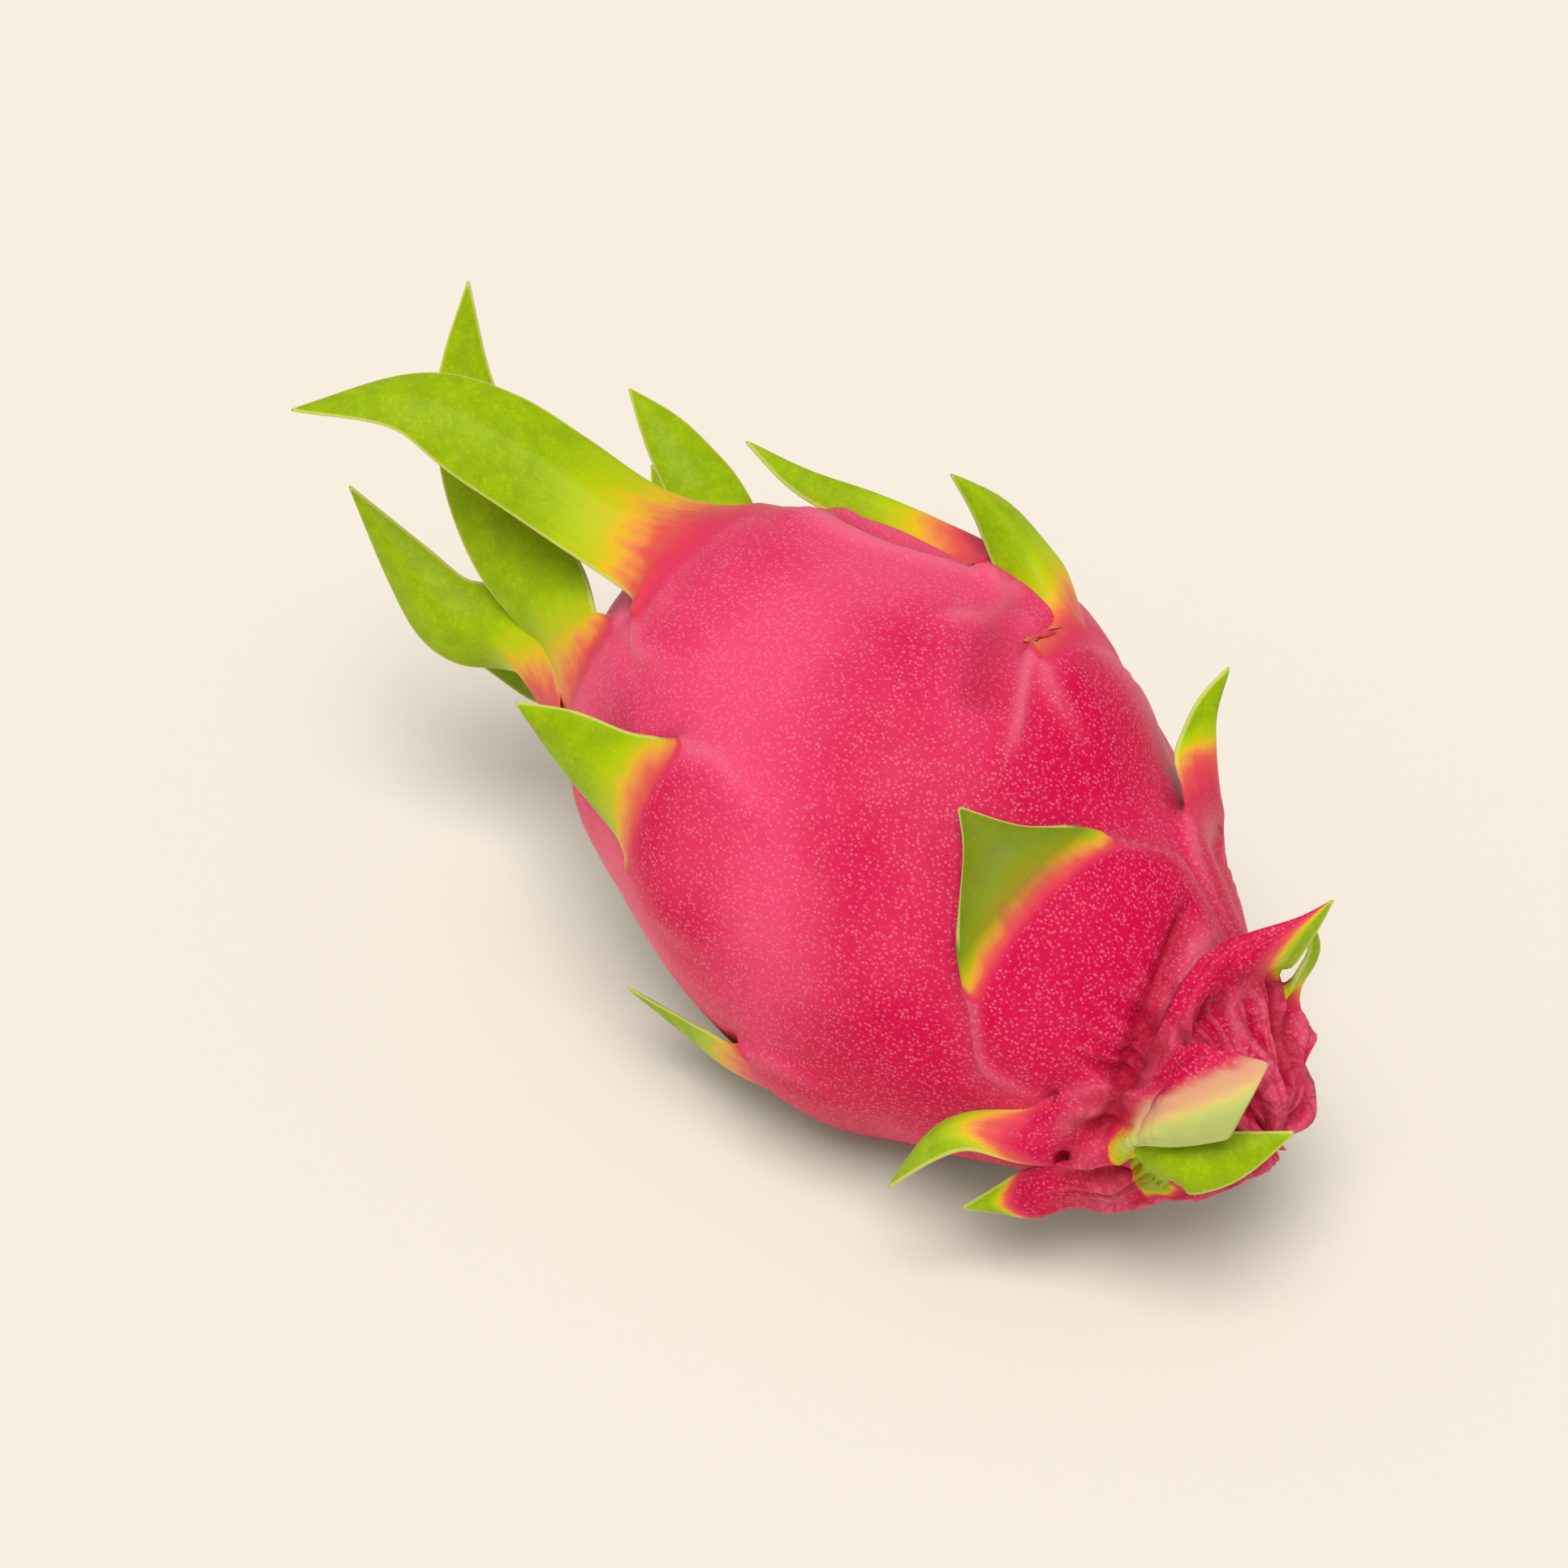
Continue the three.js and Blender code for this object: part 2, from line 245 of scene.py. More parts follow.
SCALES: tuple[Scale, ...] = (
    # the crown of long straps round the blossom end
    Scale("front strap", (-48, 6),
          ((-62, 6.5, 25.5), (-76, 12, 28.5), (-88, 17, 32), (-100, 22.5, 33), (-113, 34, 27)),
          (17, 10.5, 8.8, 8.3, 5.5, 0.2), (-0.2, 0.5, 0.85), blush=9, greening=24, cup=0.12, keel=0.2,
          spread=8),
    Scale("upright strap", (-57, 82),
          ((-70, 16, 6), (-83, 13, 9.5), (-95, 9.5, 16), (-104, 6, 25), (-111, 0, 38)),
          (13, 8.5, 7.6, 7, 4.5, 0.2), (0.4, 0.6, 0.7), swell=1.5, blush=0, greening=20, spread=8),
    Scale("low strap", (-53, 125), ((-76, 18, -6.5), (-88, 22, -5), (-97, 22, -2), (-112, 22, 6)),
          (11, 8, 6.8, 5, 0.2), (0.2, 0.8, 0.5), swell=1.5, blush=10, greening=12, keel=0.2),
    Scale("back strap", (-43, -50), ((-59, -12, 17), (-69, -14, 18), (-79, -14.5, 22), (-88, -15, 24)),
          (12, 8.5, 6, 3.8, 0.2), (0.3, 0.3, 0.9), swell=2, blush=8, greening=14),
    Scale("far strap", (-57, -130), ((-70, -21, -13), (-84, -28, -14), (-98, -33, -8)),
          (11, 8, 5.5, 0.2), (0, -0.9, -0.3), swell=1.5, blush=4),
    Scale("under strap", (-53, -175), ((-70, -1, -22), (-82, 1, -29), (-96, 5, -31)),
          (11, 8, 5.5, 0.2), (0, 0, -1), swell=1.5, blush=4),

    # scales along the flanks
    Scale("ridge scale", (-14, -42), ((-28, -23.5, 33.2), (-39, -20, 33), (-50, -16.5, 32), (-61, -14, 32)),
          (12, 7, 4.8, 3.2, 0.2), (0, -0.1, 1), blush=10, greening=18, margin_lead=5, cup=0.15, keel=0.6),
    Scale("shoulder scale", (5, -28), ((0, -21, 37), (-8, -22, 41), (-18, -24, 43), (-28, -24, 43)),
          (11, 7.5, 5.3, 3.6, 0.2), (0.6, 0.3, 0.8), swell=3, blush=8, greening=15, margin_lead=4,
          side_lead=5, cup=0.15, keel=0.6, spread=5),
    Scale("side scale", (35, -50), ((28, -26, 26), (25, -28.5, 31), (23, -33, 36)),
          (9, 6, 3.4, 0.2), (0.8, -0.3, 0.5), swell=1.5, blush=8, greening=9, margin_lead=4, keel=0.3),
    Scale("shield scale", (34, 30), ((29.5, 22.5, 34), (24, 21.5, 35.5), (19, 21, 36.5)),
          (14.5, 8, 3.2, 0.2), (0, 0.5, 0.85), swell=4.5, shield=29, flare=0.6, blush=1.5, greening=6,
          pallor=-0.65, shear=0.55, cup=0.1),
    Scale("hidden front scale", (-24, 72), ((-33, 37.5, 11), (-43, 38.5, 12.5), (-52, 40, 14)),
          (11, 8, 5, 0.2), (0, 0.95, 0.3)),
    Scale("upper back scale", (-20, -108), ((-30, -38.5, -11.5), (-41, -40, -11), (-53, -42, -8)),
          (11, 8, 5, 0.2), (0, -0.95, -0.3)),
    Scale("lower front scale", (4, 128), ((-6, 35.5, -28.5), (-15, 36, -28.5), (-24, 38.5, -26)),
          (11, 8, 5, 0.2), (0, 0.8, -0.6), swell=2),
    Scale("lower back scale", (-34, -150), ((-44, -18, -29.5), (-54, -19, -31), (-64, -21, -31)),
          (10, 7, 5, 0.2), (0, -0.5, -0.85), swell=2),
    Scale("middle back scale", (18, -98), ((8, -40, -6), (-2, -42, -6), (-12, -46, -3)),
          (11, 8, 5, 0.2), (0, -1, -0.1)),

    # short, crowded scales towards the stem end
    Scale("curled scale", (52, 86), ((50, 31, 0), (43, 35, -1), (39, 39, -5), (36, 43, -15)),
          (7, 4.3, 3.2, 2.8, 0.2), (-0.4, 0.6, 0.6), swell=3, blush=14, greening=9, margin_lead=6, shield=14,
          pallor=0.1, thickness=3),
    Scale("ground scale", (55, 117), ((52, 30, -12), (48, 32, -15), (44, 35, -18)),
          (7.5, 4.5, 2.2, 0.2), (0.2, 0.9, 0.2), swell=2.5, blush=11, greening=4, shield=14, thickness=3),
    Scale("horn scale", (57, 6), ((60, 3.5, 26.5), (62, -2.5, 30), (63.2, -6.5, 32), (63.5, -10.5, 34)),
          (12, 8, 4.4, 2, 0.2), (0.45, 0.6, 0.65), swell=3, blush=13, greening=8, margin_lead=2,
          side_lead=-14, pallor=0.1, shield=9, shear=0.5, cup=0.25, thickness=3),
    Scale("small horn scale", (60.5, -46), ((63, -9, 20), (63.5, -10, 24), (61.5, -9.5, 28.5)),
          (4.5, 3.4, 2.2, 0.2), (0.8, -0.3, 0.4), swell=1, greening=6, shield=10),
    Scale("flap scale", (60, 60), ((65, 22.5, 16), (70, 20, 17.5), (75, 16.5, 19.5)),
          (8.5, 8.5, 8, 6.5), (0.6, 0.7, 0.5), swell=2, blush=10, greening=11, margin_lead=2, side_lead=13,
          pallor=0.5, shield=8, shear=0.9, thickness=3),
    Scale("foot scale", (62, 108), ((68, 22.5, 4.5), (74, 17, 7.5), (79, 9, 12)),
          (5, 5, 4, 0.2), (0.5, 0.5, 0.7), swell=1, blush=-4, greening=5, shield=8),
    Scale("far back scale", (44, -112), ((36, -28, -13), (28, -32, -13), (21, -37, -9)),
          (10, 7, 5, 0.2), (0, -0.9, -0.4), swell=1.5, shield=18),
    Scale("far foot scale", (48, -158), ((42, -12, -26), (34, -14, -29), (27, -17, -32)),
          (9, 7, 5, 0.2), (0, -0.4, -0.9), swell=2, shield=16),
    Scale("far stem scale", (60, -112), ((55, -17, -12), (49, -20, -15), (43, -23, -17)),
          (7, 5, 3.5, 0.2), (0.2, -0.9, -0.3), swell=1, shield=10),
)


@dataclass(frozen=True)
class Crease:
    """A fold that runs over the peel between points of [along, degrees round]; a groove sinks."""

    path: tuple[tuple[float, float], ...]
    height: float
    width: float
    tint: float = 1.0      # how strongly a ridge gets its painted highlight and a groove its painted shade


CREASES: tuple[Crease, ...] = (
    # ridge from the front strap to the shoulder scale, over the top of the body
    Crease(((-44, -14), (-34, -12), (-22, -17), (-8, -28)), 1.1, 2.4),
    Crease(((-38, -20), (-28, -21), (-18, -26)), -0.8, 2.4),
    # margin that runs down from the shoulder scale, with the trough beside it
    Crease(((2, -21), (6, -12), (11, -3), (18, 10)), 1.6, 1.0),
    Crease(((-7, -26), (3, -4), (10, 8)), -1.1, 3.2),
    Crease(((-8, -28), (-4, -14), (-8, -2)), 0.7, 1.6),
    # deep fold between the big shield and the crowded stem end
    Crease(((45, -12), (50, 8), (54, 34), (56, 55), (57, 84)), -2.2, 1.0),
    Crease(((48, -16), (54, 8), (57, 28), (59, 52), (58, 76)), 1.6, 2.4),
    # folds above the curled scale
    Crease(((42, 96), (48, 90), (54, 74), (58, 62)), 1.4, 2.0),
    Crease(((47, 100), (52, 96), (56, 84)), -1.4, 1.5),
    # folds of the crowded stem end
    Crease(((58, 0), (60, 30), (62, 52)), -1.2, 1.4),
    Crease(((60, 100), (58, 125), (52, 140)), 0.6, 2.4),
    # broad hollows along the back, and beside them a pale band of painted sheen where the wax bloom catches
    # the light
    Crease(((-54, -33), (-42, -39), (-26, -42), (-8, -45)), -1.4, 9.0, tint=0.0),
    Crease(((2, -44), (18, -48), (36, -54)), -1.4, 8.0, tint=0.0),
    Crease(((34, -54), (46, -58), (58, -62)), -2.8, 7.0, tint=0.0),
    Crease(((2, -38), (16, -46), (30, -50), (40, -36)), 0.2, 5.0, tint=0.9),
)


# ---- the peel ----

class Mark(Enum):
    """What the peel's vertices carry for its form and its finish, each a number stored on the mesh."""

    ARC = "arc"            # length along the outline
    COS = "around_cos"     # the angle round the body
    SIN = "around_sin"
    REACH = "reach"        # millimetres along a blade from its root, 0 on the body
    RIM = "rim"            # millimetres in from a blade's margin
    OUTER = "outer"        # 1 on a blade's outer side, 0 on its inner side
    GREEN = "green"        # -1 on the body, 0 where a scale turns from pink, 1 where it is green
    MARGIN = "margin"      # 1 on the thin pale edge of a blade
    AXIL = "axil"          # 1 deep in the corner above a scale's root, where shade is painted
    RIDGE = "ridge"        # 1 on a raised fold, where a highlight is painted
    GROOVE = "groove"      # 1 in a sunk fold, where shade is painted
    CRINKLE = "crinkle"    # 1 where the crowded peel is finely wrinkled
    DEEP = "deep"          # 0 where the peel is light pink, 1 where it is deep magenta
    TONE = "tone"          # -1 where a blade is dull olive, 1 where it is pale cream
    STREAK = "streak"      # fibres that run along a blade, about 0


# what the grid and the blades carry while they are made
GRID_MARKS = (Mark.ARC, Mark.COS, Mark.SIN, Mark.OUTER, Mark.GREEN, Mark.REACH, Mark.RIM, Mark.TONE)


@dataclass(frozen=True)
class Strip:
    """The strip of the grid's faces out of which a blade grows."""

    row: int
    first: int             # its first column
    count: int             # how many faces wide it is
    arc: float             # of its middle, along the outline
    around: float          # of its middle, round the body, in radians
    half_angle: float      # from its middle to either end

    def corner(self, arc: float, around: float) -> tuple[float, bool]:
        """Where a corner lies: -1 to 1 across the blade, and whether on its outer side."""
        turn = math.remainder(around - self.around, math.tau)
        return round(turn / self.half_angle, 3), arc > self.arc


@dataclass
class Peel:
    """The whole outer surface of the fruit, from the navel to the stem end."""

    outline: Outline = field(default_factory=Outline)
    lie: Lie = field(default_factory=Lie)
    scales: tuple[Scale, ...] = SCALES
    creases: tuple[Crease, ...] = CREASES
    segments: int = 104            # faces round the body
    rows: int = 84                 # faces from end to end
    blade_step: float = 3.2        # length of one row of a blade's faces
    settle_length: float = 7.0     # how far a blade takes to leave the grid's form for its own
    tip_thickness: float = 0.5
    axil_depth: float = 1.7        # how fast a shield drops off above its scale
    groove_depth: float = 0.9      # of the corner above a scale's root
    margin_height: float = 1.0     # of the ridges that run down from a blade's corners
    wrinkle_height: float = 1.3    # of the fine wrinkles at the stem end
    crumple_height: float = 1.4    # of the folds between them
    pleat_height: float = 0.35     # of the wrinkles that run on up the blades there
    lump_height: float = 0.9       # of the body's broad unevenness
    stem_start: float = 44.0       # where along the body the crowded stem end begins
    stem_full: float = 62.0        # and where it is fully wrinkled
    lobes: int = 7                 # thick folds round the scar of the stalk
    lobe_height: float = 0.9

    # ---- fields over the body, in millimetres ----

    def _strip(self, scale: Scale) -> Strip:
        """Find the strip of the grid nearest to a scale's root."""
        row = int(self.outline.arc_of(scale.root[0]) / self.outline.length * self.rows)
        arc = (row + 0.5) * self.outline.length / self.rows
        _, radius = self.outline.at(arc)
        column_angle = math.tau / self.segments
        count = max(3, round(2 * scale.half_widths[0] / radius / column_angle))
        first = round(math.radians(scale.root[1]) / column_angle - count / 2)
        return Strip(row, first, count, arc, (first + count / 2) * column_angle, count / 2 * column_angle)

    def _offsets(self, scale: Scale, arc: Any, around: Any) -> tuple[Any, Any]:
        """Measure places on the body from a scale's root.

        Args:
            scale: The scale to measure from.
            arc: Length along the outline of each place.
            around: Angle round the body of each place, in radians.

        Returns:
            How far each place is towards the stem end, and how far to the side.
        """
        strip = self._strip(scale)
        turn = around - strip.around
        turn = np.arctan2(np.sin(turn), np.cos(turn))
        _, radius = self.outline.at(0.5 * (arc + strip.arc))
        return arc - strip.arc, turn * radius

    @staticmethod
    def _shield_width(scale: Scale, down: Any) -> Any:
        """The half-width of a scale's shield at a distance below its root."""
        return scale.half_widths[0] * (1 + scale.flare * smooth(down / scale.shield, 0, 0.3))

    def _shield(self, arc: Any, around: Any) -> Any:
        """How far the shields below the scales raise the body at each place."""
        height = 0.0
        for scale in self.scales:
            down, aside = self._offsets(scale, arc, around)
            fall = 1 - smooth(down / scale.shield, 0.25, 1)
            lengthwise = np.where(down < 0, np.exp(-(down / self.axil_depth) ** 2), fall)
            sideways = 1 / (1 + (np.abs(aside) / self._shield_width(scale, down)) ** 11)
            height = np.maximum(height, scale.swell * lengthwise * sideways)
        return height

    def _raised(self, arc: Any, around: Any) -> np.ndarray:
        """The body's surface with its shields raised, at each place."""
        height = np.asarray(self._shield(arc, around))[..., None]
        return self.outline.skin(arc, around) + height * self.outline.outward(arc, around)

    # ---- the coarse skin ----

    def _wrap_grid(self) -> tuple[bmesh.types.BMesh, dict[tuple[int, int], bmesh.types.BMFace]]:
        """Wrap a round grid over the raised body.

        Returns:
            The mesh, and its faces by row from the navel and column round the body.
        """
        bm = bmesh.new()
        bmesh.ops.create_uvsphere(bm, u_segments=self.segments, v_segments=self.rows, radius=1.0)
        arc_mark, cos_mark, sin_mark, outer_mark, green_mark, *_ = [
            bm.verts.layers.float.new(mark.value) for mark in GRID_MARKS]
        faces = {}
        for face in bm.faces:
            middle = face.calc_center_median().normalized()
            row = int(math.acos(middle.z) / math.pi * self.rows)
            column = math.floor(math.atan2(middle.y, middle.x) / math.tau * self.segments) % self.segments
            faces[row, column] = face
        ball = np.array([vert.co for vert in bm.verts])
        rings = np.rint(np.arccos(np.clip(ball[:, 2], -1, 1)) / math.pi * self.rows)
        arcs = self.outline.length * rings / self.rows
        turns = np.arctan2(ball[:, 1], ball[:, 0])
        for vert, arc, turn, place in zip(bm.verts, arcs, turns, self._raised(arcs, turns)):
            vert[arc_mark], vert[cos_mark], vert[sin_mark] = arc, math.cos(turn), math.sin(turn)
            vert[outer_mark], vert[green_mark] = 1.0, -1.0
            vert.co = place
        return bm, faces

    def _grow_blade(self, bm: bmesh.types.BMesh, faces: dict[tuple[int, int], bmesh.types.BMFace],
                    scale: Scale) -> None:
        """Extrude one scale's blade out of a strip of the grid.

        Args:
            bm: The skin.
            faces: The grid's faces by row and column. The strip's are taken out.
            scale: The scale to grow.
        """
        strip = self._strip(scale)
        region = [faces.pop((strip.row, (strip.first + k) % self.segments)) for k in range(strip.count)]
        arc_mark, cos_mark, sin_mark, outer_mark, green_mark, reach_mark, rim_mark, tone_mark = [
            bm.verts.layers.float[mark.value] for mark in GRID_MARKS]

        def corner(vert: bmesh.types.BMVert) -> tuple[float, bool]:
            """Which corner of the strip a vertex has grown from."""
            return strip.corner(vert[arc_mark], math.atan2(vert[sin_mark], vert[cos_mark]))

        centre = Vector(self._raised(strip.arc, strip.around))
        skinward = Vector(self.outline.outward(strip.arc, strip.around))
        rootward = Vector((0, -math.cos(strip.around), -math.sin(strip.around)))
        offsets = {corner(vert): vert.co - centre for face in region for vert in face.verts}
        spine = [tuple(centre)] + [from_front(point) for point in scale.path]
        length = sum(math.dist(through(spine, (i + 1) / 60), through(spine, i / 60)) for i in range(60))
        steps = max(4, round(length / self.blade_step))
        for vert in {vert for part in region for vert in part.verts}:
            vert[green_mark] = scale.greenness(0.0, corner(vert)[0])
        face = Vector(from_front(scale.face)).normalized()

        for step in range(1, steps + 1):
            t = step / steps
            grown = bmesh.ops.extrude_face_region(bm, geom=region)["geom"]
            bmesh.ops.delete(bm, geom=region, context="FACES")
            region = [item for item in grown if isinstance(item, bmesh.types.BMFace)]
            spot = Vector(through(spine, t))
            tangent = Vector(through(spine, min(t + 0.02, 1)) - through(spine, t - 0.02)).normalized()
            facing = skinward.lerp(face, float(smooth(t, 0, 0.5)))
            normal = (facing - tangent * facing.dot(tangent)).normalized()
            side = tangent.cross(normal)
            if step == 1:
                flip = math.copysign(1.0, side.dot(rootward))
            side = (side * flip).lerp(rootward, scale.shear).normalized()
            half = max(0.15, float(through([(width,) for width in scale.half_widths], t)[0]))
            settled = float(smooth(t * length, 0, self.settle_length))
            thickness = scale.thickness + (self.tip_thickness - scale.thickness) * t
            for vert in (item for item in grown if isinstance(item, bmesh.types.BMVert)):
                across, outer = corner(vert)
                lift = (0.5 if outer else -0.5) * thickness * (1 - 0.6 * across ** 2)
                lift -= (scale.cup * across ** 2 + scale.keel * abs(across)) * half * settled
                vert.co = spot + offsets[across, outer].lerp(side * (across * half) + normal * lift, settled)
                vert[reach_mark] = t * length
                vert[outer_mark] = float(outer)
                vert[green_mark] = scale.greenness(t * length, across)
                vert[rim_mark] = (1 - abs(across)) * half
                vert[tone_mark] = scale.pallor

    def _coarse_mesh(self) -> bpy.types.Mesh:
        """Make the coarse skin with every blade grown out of it."""
        bm, faces = self._wrap_grid()
        for scale in self.scales:
            self._grow_blade(bm, faces, scale)
        bmesh.ops.recalc_face_normals(bm, faces=bm.faces)
        mesh = bpy.data.meshes.new(NODE)
        bm.to_mesh(mesh)
        bm.free()
        return mesh

    # ---- the fine skin ----

    def _refine(self, mesh: bpy.types.Mesh) -> bpy.types.Object:
        """Round the coarse skin with one level of subdivision and keep the result as a plain mesh."""
        cage = bpy.data.objects.new("peel_cage", mesh)
        bpy.context.scene.collection.objects.link(cage)
        subdivision = cage.modifiers.new("round", "SUBSURF")
        subdivision.levels = subdivision.render_levels = 1
        depsgraph = bpy.context.evaluated_depsgraph_get()
        fine = bpy.data.meshes.new_from_object(cage.evaluated_get(depsgraph), preserve_all_data_layers=True,
                                               depsgraph=depsgraph)
        bpy.data.objects.remove(cage)
        peel = bpy.data.objects.new("peel", fine)
        bpy.context.scene.collection.objects.link(peel)
        return peel

    @staticmethod
    def _read(mesh: bpy.types.Mesh, mark: Mark) -> np.ndarray:
        """A number stored on every vertex."""
        values = np.empty(len(mesh.vertices), dtype=np.float32)
        mesh.attributes[mark.value].data.foreach_get("value", values)
        return values.astype(float)

    @staticmethod
    def _write(mesh: bpy.types.Mesh, mark: Mark, values: np.ndarray) -> None:
        """Store a number on every vertex."""
        layer = mesh.attributes.get(mark.value) or mesh.attributes.new(mark.value, "FLOAT", "POINT")
        layer.data.foreach_set("value", values.astype(np.float32))

    def _fold_field(self, places: np.ndarray, crease: Crease) -> np.ndarray:
        """How strongly a crease shows at each place.

        Args:
            places: Points on the smooth body.
            crease: The fold.

        Returns:
            1 on the fold's line, falling to 0 beside it.
        """
        corners = [self.outline.skin(self.outline.arc_of(along), math.radians(degrees))
                   for along, degrees in (through(crease.path, i / 16) for i in range(17))]
        nearest = np.full(len(places), np.inf)
        progress = np.zeros(len(places))
        for number, (start, end) in enumerate(zip(corners, corners[1:])):
            run = end - start
            share = np.clip((places - start) @ run / max(run @ run, 1e-9), 0, 1)
            distance = np.linalg.norm(places - start - share[:, None] * run, axis=1)
            closer = distance < nearest
            nearest = np.where(closer, distance, nearest)
            progress = np.where(closer, (number + share) / 16, progress)
        fade = smooth(progress, 0, 0.15) * (1 - smooth(progress, 0.8, 1.0))
        return np.exp(-(nearest / crease.width) ** 2) * fade

    def _crease_fields(self, places: np.ndarray) -> tuple[np.ndarray, np.ndarray, np.ndarray]:
        """Work out what the creases do at each place on the body.

        Args:
            places: Points on the smooth body.

        Returns:
            How far they lift the peel, and how strongly each place is a ridge and a groove.
        """
        lift, ridge, groove = np.zeros((3, len(places)))
        for crease in self.creases:
            shape = self._fold_field(places, crease)
            lift += crease.height * shape
            if crease.height > 0:
                ridge = np.maximum(ridge, crease.tint * shape)
            else:
                groove = np.maximum(groove, crease.tint * shape * min(1.0, -crease.height / 2))
        return lift, ridge, groove

    def _root_fields(self, arc: np.ndarray, around: np.ndarray) -> tuple[np.ndarray, ...]:
        """Work out what the scales' roots and shields do to the body round them.

        Args:
            arc: Length along the outline of each place.
            around: Angle round the body of each place, in radians.

        Returns:
            How far they lift the peel, how strongly each place is a ridge, a corner above a root and a
            swollen shield, and how green it is.
        """
        lift, ridge, axil, shielded = np.zeros((4, len(arc)))
        green = np.full(len(arc), -1.0)
        half_row = self.outline.length / self.rows / 2
        for scale in self.scales:
            down, aside = self._offsets(scale, arc, around)
            half = scale.half_widths[0]
            inside = 1 / (1 + (np.abs(aside) / half) ** 8)
            corner = np.exp(-((down + 2.2) / 2.0) ** 2) * inside
            lift -= self.groove_depth * corner
            axil = np.maximum(axil, corner)
            run = np.clip(down / scale.shield, 0, 1)
            edge = np.abs(np.abs(aside) - self._shield_width(scale, down)) / 1.1
            margin = np.exp(-edge ** 2) * smooth(down, -2, 1) * (1 - smooth(run, 0.1, 0.75))
            lift += self.margin_height * margin
            ridge = np.maximum(ridge, 0.8 * margin)
            inner = smooth(self._shield_width(scale, down) - np.abs(aside), 0, 4) * smooth(down, 0, 4)
            shielded = np.maximum(shielded, 0.25 * scale.swell * inner * (1 - smooth(run, 0.6, 1)))
            beside = np.maximum(np.abs(aside) - half, 0)
            behind = np.maximum(np.abs(down) - half_row, 0) * np.where(down < 0, 12, 1)
            root_green = scale.greenness(0.0, np.clip(aside / half, -1, 1))
            green = np.maximum(green, root_green - np.hypot(behind, 2.5 * beside) / scale.spread)
        return lift, ridge, axil, shielded, green

    @staticmethod
    def _noise_fields(places: np.ndarray, around: np.ndarray, along: np.ndarray,
                      reach: np.ndarray) -> tuple[np.ndarray, ...]:
        """Work out the peel's natural unevenness at each vertex.

        Args:
            places: Points on the smooth body.
            around: Angle round the body, in radians.
            along: Place along the body.
            reach: Millimetres along a blade.

        Returns:
            Broad lumps, wrinkles that run along the body, folds between them, and fibres along the blades.
        """
        lumps, wrinkles, crumples, streaks = np.empty((4, len(places)))
        for i, place in enumerate(places):
            spoke = Vector((math.cos(around[i]), math.sin(around[i]), 0))
            lumps[i] = noise.noise(Vector(place) / 26.0)
            wrinkles[i] = 0.5 - 2.2 * abs(noise.noise(7.0 * spoke + Vector((0, 0, along[i] / 16.0))))
            crumples[i] = 1 - 3.2 * abs(noise.noise(2.4 * spoke + Vector((0, 0, 9 + along[i] / 11.0))))
            streaks[i] = noise.noise(22.0 * spoke + Vector((0, 0, 0.04 * reach[i])))
        return lumps, wrinkles, crumples, streaks

    def _detail(self, peel: bpy.types.Object) -> None:
        """Add folds, wrinkles and unevenness to the fine skin, and store what the finish needs."""
        mesh = peel.data
        co, normals = np.empty((2, len(mesh.vertices) * 3), dtype=np.float32)
        mesh.vertices.foreach_get("co", co)
        mesh.vertices.foreach_get("normal", normals)
        co, normals = co.reshape(-1, 3).astype(float), normals.reshape(-1, 3).astype(float)
        arc, reach, rim, outer, green = (
            self._read(mesh, mark) for mark in (Mark.ARC, Mark.REACH, Mark.RIM, Mark.OUTER, Mark.GREEN))
        around = np.arctan2(self._read(mesh, Mark.SIN), self._read(mesh, Mark.COS))
        on_skin = 1 - smooth(reach, 0.2, 3.0)
        places = self.outline.skin(arc, around)
        along, _ = self.outline.at(arc)
        stemward = smooth(along, self.stem_start, self.stem_full)

        lift, ridge, groove = self._crease_fields(places)
        root_lift, root_ridge, axil, shielded, body_green = self._root_fields(arc, around)
        lumps, wrinkles, crumples, streaks = self._noise_fields(places, around, along, reach)
        crumples *= stemward
        lobes = np.cos(self.lobes * around + 3.0 * lumps) * smooth(along, 58, 67)
        lift += root_lift + self.lump_height * lumps + (self.wrinkle_height * stemward + 0.1) * wrinkles
        lift += self.crumple_height * crumples + self.lobe_height * lobes
        # the stem end's folds: painted shade goes into their grooves and a painted highlight onto their
        # ridges
        groove = np.maximum.reduce([groove, 0.8 * smooth(-lobes, 0.3, 1.0), 0.9 * smooth(-crumples, 0.1, 1.0),
                                    stemward * smooth(-wrinkles, 0.0, 0.8)])
        ridge = np.maximum.reduce([ridge, root_ridge, 0.8 * smooth(crumples, 0.4, 1.0),
                                   0.8 * stemward * smooth(wrinkles, 0, 0.5)])
        pleats = self.pleat_height * stemward * wrinkles * (1 - smooth(reach, 5, 16)) * (1 - on_skin)
        co += normals * (lift * on_skin + pleats)[:, None]

        mesh.vertices.foreach_set("co", co.astype(np.float32).ravel())
        mesh.transform(self.lie.matrix())
        for vert in mesh.vertices:
            vert.co.z = max(vert.co.z, 0.0)

        deep = 0.2 + 0.6 * smooth(along, -30, 35) + 0.5 * lumps + 0.35 * shielded
        for mark, values in {
            Mark.GREEN: np.where(reach > 0.01, green, body_green),
            Mark.STREAK: streaks,
            Mark.MARGIN: (1 - smooth(rim, 0.05, 1.2)) * smooth(reach, 1, 4),
            # the corner above each root and a blade's inner side near it get painted shade
            Mark.AXIL: np.maximum(axil * on_skin, (1 - outer) * (1 - smooth(reach, 0.5, 4))),
            Mark.RIDGE: ridge * on_skin,
            Mark.GROOVE: groove * on_skin,
            Mark.CRINKLE: stemward * (1 - smooth(reach, 5, 14)),
            Mark.DEEP: np.clip(deep + 0.25 * stemward * wrinkles, 0, 1),
        }.items():
            self._write(mesh, mark, values)
        mesh.update()

